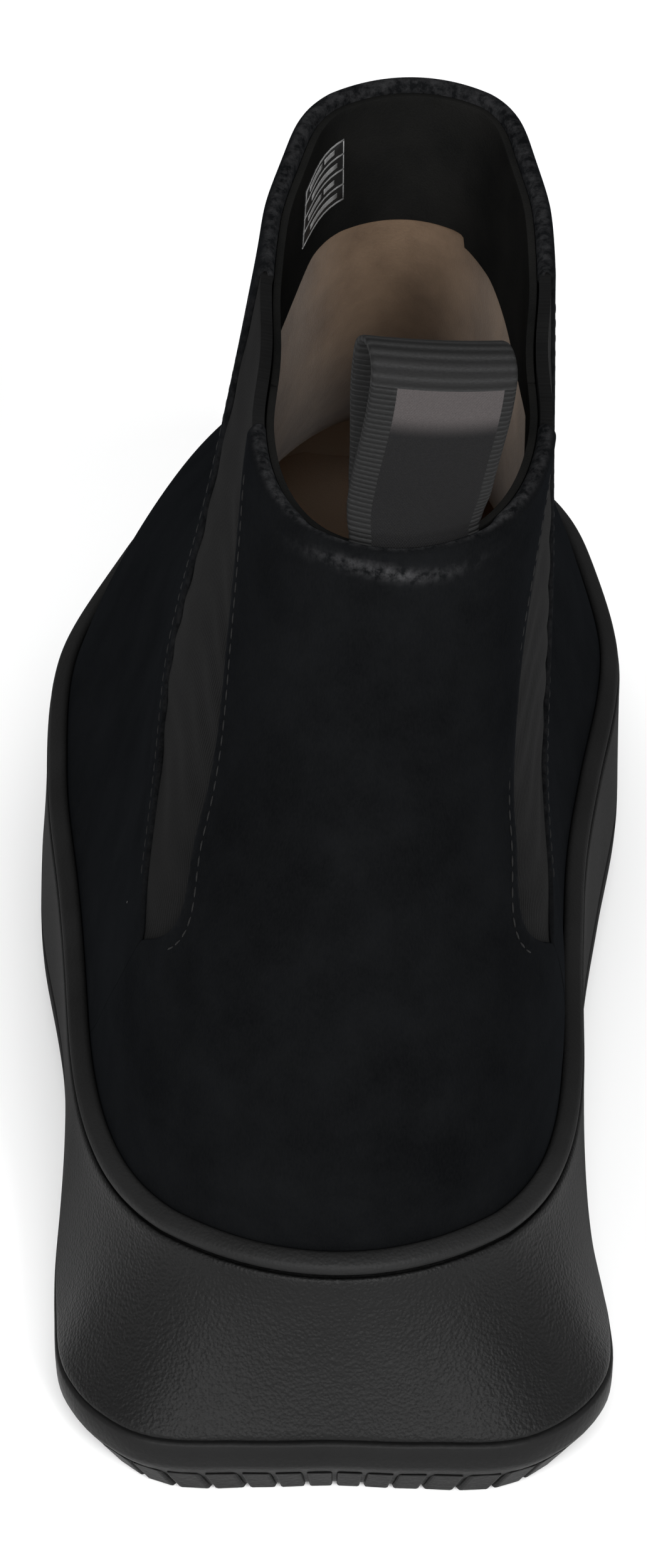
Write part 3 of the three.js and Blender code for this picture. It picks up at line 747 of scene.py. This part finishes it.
def add_linings():
    split = 0.2
    gap = 0.0008
    spans = {
        "vamp_lining": ((split + gap, 1 - split - gap), "front_facing"),
        "quarter_lining": ((-split + gap, split - gap), "back_facing"),
    }
    for lining, ((start, end), facing) in spans.items():
        heights = np.linspace(-LASTING_DEPTH / 100, 0.885, 90)
        piece = wall_sheet(
            lining + "_microfibre",
            lambda t, edge=start: np.full(t.shape, edge), lambda t, edge=end: np.full(t.shape, edge),
            heights, rumpled, LINING_THICK, TAN, 120,
        )
        finish_piece(piece, [lining])
        u = np.linspace(start, end, 140)
        share = np.concatenate([[0, 0.004, 0.012, 0.03], np.linspace(0.06, 1, 26)])
        foot = facing_foot(u)
        t = foot + (0.99 - foot) * share[:, None]
        points = wall_point(u + 0 * t, t, LINING_DEPTH + hollow(u + 0 * t, t))
        faces = grid_faces(*t.shape, False).reshape(-1, 4)
        uv = mm_uv(points).reshape(-1, 2)
        cover = make_mesh(facing + "_cloth", points.reshape(-1, 3), faces, FACING, uv)
        solidify(cover, 1.15)
        soften(cover, 0.35)
        finish_piece(cover, [facing])


def strip(u0, u1, t0, t1, depth, steps=8):
    """Corner points and faces of a thin strip lying on the inside of the wall."""
    u = np.linspace(u0, u1, steps)
    t = np.linspace(t0, t1, steps)[:, None]
    points = wall_point(u + 0 * t, t + 0 * u, depth)
    return points.reshape(-1, 3), grid_faces(steps, steps, False).reshape(-1, 4)


def join_strips(strips):
    points, faces, count = [], [], 0
    for corners, quads in strips:
        points.append(corners)
        faces.append(quads + count)
        count += len(corners)
    return np.concatenate(points), np.concatenate(faces)


def add_label():
    """Size label: a dark film with a printed frame and plain bars instead of words."""
    left, right, low, high = 0.36, 0.435, 0.9, 0.962
    depth = LINING_DEPTH + 1.15
    film = make_mesh("size_label_film", *strip(left, right, low, high, depth), LABEL_FILM)
    finish_piece(solidify(film, 0.2), ["size_label"])
    line_u, line_t = 0.0016, 0.0016
    rows = 4
    pitch = (high - low) / rows
    strips = [strip(left + i * (right - left - line_u), left + i * (right - left - line_u) + line_u,
                    low, high, depth + 0.12) for i in (0, 1)]
    for row in range(rows + 1):
        base = low + row * pitch
        base = min(base, high - line_t)
        strips.append(strip(left, right, base, base + line_t, depth + 0.12))
    for row in range(rows):
        base = low + (row + 0.36) * pitch
        ends = [(0.12, 0.5), (0.56, 0.8)] if row % 2 else [(0.2, 0.86)]
        for start, end in ends:
            strips.append(strip(left + start * (right - left), left + end * (right - left),
                                base, base + 0.32 * pitch, depth + 0.12))
    ink = make_mesh("size_label_print", *join_strips(strips), LABEL_INK)
    finish_piece(solidify(ink, 0.14), [])


# ---------------------------------------------------------------- stitching


def resample(path, pitch):
    """Points along a path at even steps."""
    lengths = np.concatenate([[0], np.cumsum(np.linalg.norm(np.diff(path, axis=0), axis=1))])
    at = np.arange(0, lengths[-1], pitch)
    return np.stack([np.interp(at, lengths, path[:, i]) for i in range(3)], -1)


def stitches(name, rows, pitch, length, radius, look):
    """Thread lying in short stitches along rows of (path, outward directions)."""
    angle = np.linspace(0, 2 * np.pi, 8, endpoint=False)
    rings = np.radians([-90, -55, -20, 20, 55, 90])
    around = np.stack([np.outer(np.sin(rings), np.ones(8)), np.outer(np.cos(rings), np.cos(angle)),
                       np.outer(np.cos(rings), np.sin(angle))], -1).reshape(-1, 3)
    template = grid_faces(len(rings), 8, True).reshape(-1, 4)
    points, faces, count = [], [], 0
    for path, out in rows:
        ends = resample(path, pitch)
        facing = np.stack([np.interp(np.linspace(0, 1, len(ends)), np.linspace(0, 1, len(out)), out[:, i])
                           for i in range(3)], -1)
        for i in range(len(ends) - 1):
            along = unit(ends[i + 1] - ends[i])
            side = unit(np.cross(facing[i], along))
            up = np.cross(along, side)
            middle = (ends[i] + ends[i + 1]) / 2
            points.append(middle + around[:, :1] * along * length / 2
                          + around[:, 1:2] * side * radius + around[:, 2:] * up * radius)
            faces.append(template + count)
            count += len(around)
    piece = make_mesh(name, np.concatenate(points), np.concatenate(faces), look)
    return finish_piece(piece, [])


def seam_row(u, t, depth):
    return wall_point(u, t, depth), -inward(u, t)


def add_stitching():
    """One row of dark thread along each edge of the gores."""
    t = np.linspace(GORE_FOOT + 0.03, 0.965, 160)
    front = smooth(GORE_FRONT, t) + STITCH_REACH
    back = smooth(GORE_BACK, t) - STITCH_REACH
    rows = [seam_row(u, t, creases(u, t)) for u in (front, back, 1 - front, 1 - back)]
    stitches("gore_stitching", rows, 2.3, 1.7, 0.15, THREAD)


# ---------------------------------------------------------------- pull tab


def loop_line():
    """Middle line of the webbing seen from the side, from the outer foot over the top to the inner one."""
    belly, top, foot = TAB_GAP / 2, TAB_HEIGHT - TAB_GAP / 2, 0.66
    s = np.linspace(0, 1, 36)[:, None]
    corners = [np.array(p) for p in ([-foot, 0.0], [-foot - 0.9, 7.0], [-belly, top - 14], [-belly, top])]
    rise = ((1 - s) ** 3 * corners[0] + 3 * (1 - s) ** 2 * s * corners[1]
            + 3 * (1 - s) * s**2 * corners[2] + s**3 * corners[3])
    arc = np.radians(np.linspace(180, 90, 12))[1:]
    crown = np.stack([belly * np.cos(arc), top + belly * np.sin(arc)], -1)
    half = np.concatenate([rise, crown])
    return np.concatenate([half, (half * [-1, 1])[-2::-1]])


def add_tab():
    line = loop_line()
    root_depth = 16
    below = np.linspace(-root_depth, -0.6, 12)
    legs = [np.stack([np.full(below.shape, side * 0.34), below], -1) for side in (-1, 1)]
    line = np.concatenate([legs[0], line, legs[1][::-1]])
    direction = unit(np.gradient(line, axis=0))
    normal = np.stack([-direction[:, 1], direction[:, 0]], -1)
    length = np.concatenate([[0], np.cumsum(np.linalg.norm(np.diff(line, axis=0), axis=1))])
    length -= length[-1] / 2
    x = np.linspace(-TAB_WIDTH / 2, TAB_WIDTH / 2, 49)
    hinge = wall_point(0.0, 1.0, 2.2)
    crest_u = np.linspace(-0.09, 0.09, 61)
    crest_x = upper_face(crest_u, 1.0)[:, 0]
    u = np.interp(-(x + hinge[0] + TAB_SIDE), -crest_x, crest_u)
    thick = 0.27 + 0.26 * ease(line[:, 1], -1, 5)
    faces_out = []
    for side in (1, -1):
        edge = 1 - 0.35 * ease(np.abs(x), TAB_WIDTH / 2 - 0.5, TAB_WIDTH / 2)
        at = line[:, None, :] + side * (thick[:, None] * edge)[..., None] * normal[:, None, :]
        y, z = at[..., 0], at[..., 1]
        fade = 1 - z / (TAB_HEIGHT + TAB_GAP)
        curl = fade * (2 * x / TAB_WIDTH) ** 2
        twist = TAB_TWIST * ease(z, 2, 24)
        free = np.stack([
            hinge[0] + TAB_SIDE + x + z * math.tan(TAB_TILT) - y * twist,
            hinge[1] + TAB_FORWARD + y + TAB_BOW * curl - z * math.tan(TAB_LEAN) + x * twist / 3,
            hinge[2] + TAB_LIFT + z + TAB_CURL_RISE * curl - x * math.tan(TAB_TILT) * (z / TAB_HEIGHT),
        ], -1)
        held = wall_point(u + 0 * z, np.minimum(1, 1 + (z + TAB_LIFT) / 101), 2.2 + y)
        held[..., 2] += np.maximum(0, z + TAB_LIFT)
        mix = ease(z, -1.5, 7)[..., None]
        faces_out.append(held * (1 - mix) + free * mix)
    outer, inner = faces_out
    rows, columns = outer.shape[:2]
    count = rows * columns
    skin = grid_faces(rows, columns, False).reshape(-1, 4)
    faces = [*skin.tolist(), *(skin[:, ::-1] + count).tolist()]
    index = np.arange(count).reshape(rows, columns)
    border = np.concatenate([index[0, :-1], index[:-1, -1], index[-1, :0:-1], index[:0:-1, 0]])
    for here, after in zip(border, np.roll(border, -1)):
        faces.append([here, after, after + count, here + count])
    uv = np.stack(np.broadcast_arrays(x[None, :], length[:, None]), -1).reshape(-1, 2)
    piece = make_mesh("pull_tab_webbing", np.concatenate([outer.reshape(-1, 3), inner.reshape(-1, 3)]),
                      faces, WEBBING, np.concatenate([uv, uv]))
    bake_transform(piece)
    finish_piece(piece, ["pull_tab", "pull_tab_root"], body=None)


# ---------------------------------------------------------------- sole


def add_rand():
    outer = GAP + RAND_WIDTH
    section = [(0.1, RAND_FOOT), (0.1, RAND_TOP - 0.5)]
    section += [(0.4, RAND_TOP - 0.15), (0.75, RAND_TOP), (1.1, RAND_TOP - 0.08)]
    section += [(outer - 0.5, RAND_TOP - 0.8), (outer - 0.12, RAND_TOP - 1.35)]
    section += [(outer, RAND_TOP - 1.9)]
    section += [(outer - 0.2, RAND_FOOT + 0.35), (outer - 0.7, RAND_FOOT)]
    rows = [lambda u, o=o, r=r: base_point(u, o, r) for o, r in section]
    finish_piece(ring_body("rand_strip", rows, RAND, closed_section=True), ["rand"])


def add_midsole():
    top = RAND_FOOT - GAP

    def lip(offset, rise):
        return lambda u: base_point(u, offset, rise)

    rows = [lip(GAP, -LASTING_DEPTH - GAP), lip(GAP, top), lip(RAND_WIDTH - 0.9, top - 0.5)]
    rows += [lip(RAND_WIDTH - 0.3, top - 0.55)]

    def wall(share, inset):
        return lambda u: sole_point(u, share, inset)

    rows += [wall(0.0, 0.5), wall(0.006, 0.18), wall(0.02, 0.04)]
    rows += [wall(share, 0.0) for share in np.linspace(0.045, 0.955, 44)]
    rows += [wall(0.975, 0.08), wall(0.99, 0.32), wall(1.0, 0.8), wall(1.0, 3.0)]
    finish_piece(ring_body("midsole_wall", rows, SOLE), ["midsole"])


def outsole_point(u, height, inset):
    point = sole_point(u, 1.0, inset)
    point[..., 2] = sprung(point[..., 1], height)
    return point


def prism(corners_low, corners_high):
    """Corner points and faces of a block between two loops of corners."""
    count = len(corners_low)
    points = np.concatenate([corners_low, corners_high])
    faces = [list(range(count))[::-1], list(range(count, 2 * count))]
    faces += [[i, (i + 1) % count, (i + 1) % count + count, i + count] for i in range(count)]
    return points, faces


def join_blocks(name, blocks, look):
    points, faces, count = [], [], 0
    for corners, sides in blocks:
        points.append(corners)
        faces += [[corner + count for corner in side] for side in sides]
        count += len(corners)
    piece = make_mesh(name, np.concatenate(points), faces, look)
    piece.data.polygons.foreach_set("use_smooth", [False] * len(piece.data.polygons))
    return soften(piece, 0.4)


def add_outsole():
    profile = [(OUTSOLE_TOP, 3), (OUTSOLE_TOP, 0.7), (OUTSOLE_TOP - 0.15, 0.2), (OUTSOLE_TOP - 0.5, 0),
               (11, 0), (9.3, 0.1), (8.2, 0.7), (7, 1.7), (5.6, 3.0), (4.0, 4.4), (2.2, 5.6), (0.9, 6.6),
               (0.7, 7.6),
               (TREAD_DEPTH, 9), (TREAD_DEPTH, 14)]
    rows = [lambda u, z=z, inset=inset: outsole_point(u, z, inset) for z, inset in profile]
    finish_piece(ring_body("outsole_plate", rows, RUBBER), ["outsole"])
    ring = np.arange(720) / 720
    print_line = sole_point(ring, 1.0, TREAD_INSET)
    lateral, medial = print_line[:361], print_line[360:]
    blocks = []
    for start in np.arange(-HEEL_TO_ORIGIN, HEEL_TO_ORIGIN, TREAD_PITCH):
        ends = start + TREAD_PITCH / 2 + np.array([-1, 1]) * TREAD_BAR / 2
        if ends[0] < print_line[:, 1].min() + 1 or ends[1] > print_line[:, 1].max() - 1:
            continue
        left = np.interp(ends, lateral[:, 1], lateral[:, 0])
        right = np.interp(ends, medial[::-1, 1], medial[::-1, 0])
        loop = np.array([[left[0], ends[0]], [right[0], ends[0]], [right[1], ends[1]], [left[1], ends[1]]])
        low, high = (np.column_stack([loop, sprung(loop[:, 1], z)]) for z in (0.0, TREAD_DEPTH + 0.5))
        blocks.append(prism(low, high))
    finish_piece(join_blocks("tread_bars", blocks, RUBBER), [])
    teeth = []
    count = 108
    for k in range(count):
        places = (k + np.array([0.08, 0.92])) / count
        outer_top, outer_low = (outsole_point(places, z, inset) for z, inset in ((6.4, 1.9), (0.3, 6.1)))
        inner_top = outsole_point(places[::-1], 4.2, 8.6)
        inner_low = outsole_point(places[::-1], 0.0, 8.6)
        teeth.append(prism(np.concatenate([outer_low, inner_low]), np.concatenate([outer_top, inner_top])))
    finish_piece(join_blocks("tread_teeth", teeth, RUBBER), [])


# ---------------------------------------------------------------- inside the shoe


def layer(name, look, start, end, inset, low, high, dish=0.0, steps=90):
    """Cushioned layer under the foot. Its top is dished and its edge is rounded."""
    a = start + (end - start) * (1 - np.cos(np.linspace(0, np.pi, steps))) / 2
    u = np.arccos(1 - 2 * a) / (2 * np.pi)
    across = np.sin(np.linspace(-np.pi / 2, np.pi / 2, 31))
    skins = []
    for face, rise in enumerate((low, high)):
        outer = base_point(u, -inset, 0.0)
        inner = base_point(1 - u, -inset, 0.0)
        middle, reach = (outer + inner) / 2, (inner - outer) / 2
        points = middle[:, None, :] + reach[:, None, :] * across[None, :, None]
        height = rise(a)[:, None] + np.zeros(across.shape)
        if face:
            hollow = dish * (np.abs(across) ** 3)[None, :]
            rounding = 1.2 * np.clip(np.abs(across) - 0.93, 0, 1)[None, :] / 0.07
            height = height + hollow - rounding
        points[..., 2] += height
        skins.append(points)
    under, top = skins
    rows, columns = top.shape[:2]
    count = rows * columns
    skin = grid_faces(rows, columns, False).reshape(-1, 4)
    faces = [*skin.tolist(), *(skin[:, ::-1] + count).tolist()]
    index = np.arange(count).reshape(rows, columns)
    border = np.concatenate([index[0, :-1], index[:-1, -1], index[-1, :0:-1], index[:0:-1, 0]])
    for here, after in zip(border, np.roll(border, -1)):
        faces.append([here, after, after + count, here + count])
    return make_mesh(name, np.concatenate([top.reshape(-1, 3), under.reshape(-1, 3)]), faces, look)


def add_insoles():
    board_top = 1.6 - LASTING_DEPTH + GAP + 1.8
    cushion_end = 0.27
    cushion = 2.0

    def under(a):
        return board_top + GAP + (cushion + GAP) * (1 - ease(a, cushion_end + 0.02, cushion_end + 0.12))

    footbed = layer("footbed_cover", TAN, 0.01, 0.985, 5.6, under, lambda a: under(a) + 3.5, 1.1)
    finish_piece(footbed, ["footbed"])
    pad = layer("heel_cushion_foam", FOAM, 0.02, cushion_end, 5.9, lambda a: board_top + GAP + 0 * a,
                lambda a: board_top + GAP + cushion + 0 * a)
    finish_piece(pad, ["heel_cushion"])


def dress_cad_nodes():
    """Finishes for the hidden CAD pieces that are shown as they are."""
    finishes = {
        "shank": STEEL, "forefoot_filler": CORK, "insole_board": BOARD, "heel_counter": STIFFENER,
        "toe_puff": STIFFENER, "front_topline_tape": STIFFENER, "lateral_topline_tape": STIFFENER,
        "medial_topline_tape": STIFFENER,
    }
    for name, look in finishes.items():
        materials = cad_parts[name].data.materials
        materials.clear()
        materials.append(look)


# ---------------------------------------------------------------- studio


def aim(thing, target):
    thing.rotation_euler = (Vector(target) - thing.location).to_track_quat("-Z", "Y").to_euler()


def add_softbox(name, place, target, size, power):
    light = bpy.data.lights.new(name, "AREA")
    light.shape = "RECTANGLE"
    light.size, light.size_y = size
    light.energy = power
    box = bpy.data.objects.new(name, light)
    bpy.context.scene.collection.objects.link(box)
    box.location = place
    aim(box, target)


def add_studio():
    world = bpy.data.worlds.new("studio")
    world.use_nodes = True
    world.node_tree.nodes["Background"].inputs["Color"].default_value = (1, 1, 1, 1)
    world.node_tree.nodes["Background"].inputs["Strength"].default_value = 0.5
    bpy.context.scene.world = world
    bpy.ops.mesh.primitive_plane_add(size=12, location=(0, 0, -0.0005))
    floor = bpy.context.object
    floor.name = "studio_floor"
    look, _, shader = new_look("pale floor", 0.9, 0.1)
    shader.inputs["Base Color"].default_value = (0.97, 0.97, 0.97, 1)
    floor.data.materials.append(look)
    add_softbox("overhead_softbox", (0.1, -0.1, 1.5), (0, 0, 0), (1.6, 1.6), 9)
    add_softbox("left_softbox", (-0.55, -1.25, 0.65), (0, -0.1, 0.05), (0.25, 0.6), 16)
    add_softbox("front_fill", (0.04, -0.75, 0.55), (0, -0.02, 0.09), (0.2, 0.2), 1.6)
    add_softbox("right_softbox", (0.45, -1.35, 0.7), (0, -0.1, 0.05), (0.25, 0.6), 20)


CAMERA_TARGET = Vector((-1.5, -20.7, 60)) * MM
CAMERA_DISTANCE = 0.8
CAMERA_ELEVATION = math.radians(32)
CAMERA_YAW = math.radians(-0.2)
CAMERA_ROLL = math.radians(-0.4)


def add_camera():
    data = bpy.data.cameras.new("camera")
    data.sensor_fit = "VERTICAL"
    data.sensor_height = 36
    data.lens = 111.3
    data.clip_start, data.clip_end = 0.05, 20
    camera = bpy.data.objects.new("camera", data)
    bpy.context.scene.collection.objects.link(camera)
    ahead = Vector((
        math.sin(CAMERA_YAW) * math.cos(CAMERA_ELEVATION),
        math.cos(CAMERA_YAW) * math.cos(CAMERA_ELEVATION),
        -math.sin(CAMERA_ELEVATION),
    ))
    camera.location = CAMERA_TARGET - ahead * CAMERA_DISTANCE
    camera.rotation_mode = "QUATERNION"
    turn = ahead.to_track_quat("-Z", "Y")
    turn.rotate(Quaternion(ahead, CAMERA_ROLL))
    camera.rotation_quaternion = turn
    bpy.context.scene.camera = camera


add_suede()
add_gores()
add_linings()
add_label()
add_stitching()
add_tab()
add_rand()
add_midsole()
add_outsole()
add_insoles()
dress_cad_nodes()
add_studio()
add_camera()
bpy.context.scene.view_settings.view_transform = "Standard"
